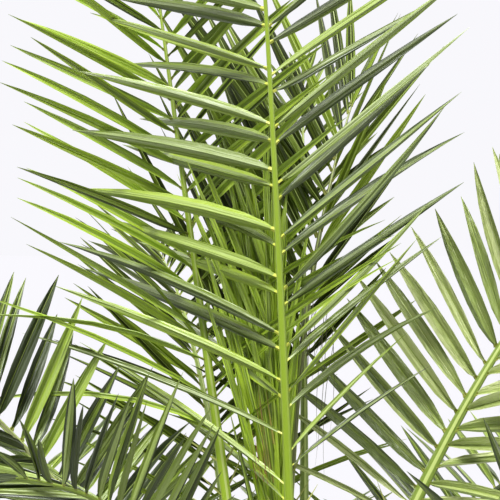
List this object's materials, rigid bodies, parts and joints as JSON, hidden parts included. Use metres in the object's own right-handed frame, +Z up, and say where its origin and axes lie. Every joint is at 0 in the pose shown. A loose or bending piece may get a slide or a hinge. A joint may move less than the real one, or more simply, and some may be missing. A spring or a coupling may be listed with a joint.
{
  "type": "potted young date palm tree",
  "caption": "Young date palm in a plain round pot, with a short bulbous stem, upright central fronds and arching outer fronds.",
  "frame": {"origin": "centre of the pot's flat underside, where it stands on the floor", "axes": "+Z up along the pot's axis, -Y to the side the plant is seen from, +X to that viewer's right"},
  "size_m": [1.6263, 1.6408, 1.5233],
  "materials": {
    "pot": "matt charcoal moulded plastic with a fine grain",
    "soil": "dark moist potting soil with small lumps",
    "stem": "dry brown leaf bases and matted fibre",
    "stalk": "smooth yellow-green leaf stalk with a soft sheen",
    "leaf": "mid green leaflets, waxy above and paler below, with fine parallel veins",
    "young_leaf": "fresh bright green folded leaflets of the newest fronds"
  },
  "bodies": {
    "root": {"pot": "pot", "soil": "soil", "stem": "stem", "spear": "young_leaf", "front_stalk": "stalk", "front_blade_inner": "leaf", "front_blade_outer": "leaf", "left_stalk": "stalk", "left_blade_inner": "leaf", "left_blade_outer": "leaf", "right_stalk": "stalk", "right_blade_inner": "leaf", "right_blade_outer": "leaf", "west_stalk": "stalk", "west_blade_inner": "leaf", "west_blade_outer": "leaf", "east_stalk": "stalk", "east_blade_inner": "leaf", "east_blade_outer": "leaf", "southwest_stalk": "stalk", "southwest_blade_inner": "leaf", "southwest_blade_outer": "leaf", "north_stalk": "stalk", "north_blade_inner": "leaf", "north_blade_outer": "leaf", "north_high_stalk": "stalk", "north_high_blade_inner": "leaf", "north_high_blade_outer": "leaf", "southeast_stalk": "stalk", "southeast_blade_inner": "leaf", "southeast_blade_outer": "leaf", "low_southwest_stalk": "stalk", "low_southwest_blade_inner": "leaf", "low_southwest_blade_outer": "leaf", "low_south_stalk": "stalk", "low_south_blade_inner": "leaf", "low_south_blade_outer": "leaf", "low_east_stalk": "stalk", "low_east_blade_inner": "leaf", "low_east_blade_outer": "leaf", "low_northeast_stalk": "stalk", "low_northeast_blade_inner": "leaf", "low_northeast_blade_outer": "leaf", "low_north_stalk": "stalk", "low_north_blade_inner": "leaf", "low_north_blade_outer": "leaf", "low_northwest_stalk": "stalk", "low_northwest_blade_inner": "leaf", "low_northwest_blade_outer": "leaf", "low_west_stalk": "stalk", "low_west_blade_inner": "leaf", "low_west_blade_outer": "leaf"}
  },
  "joints": []
}
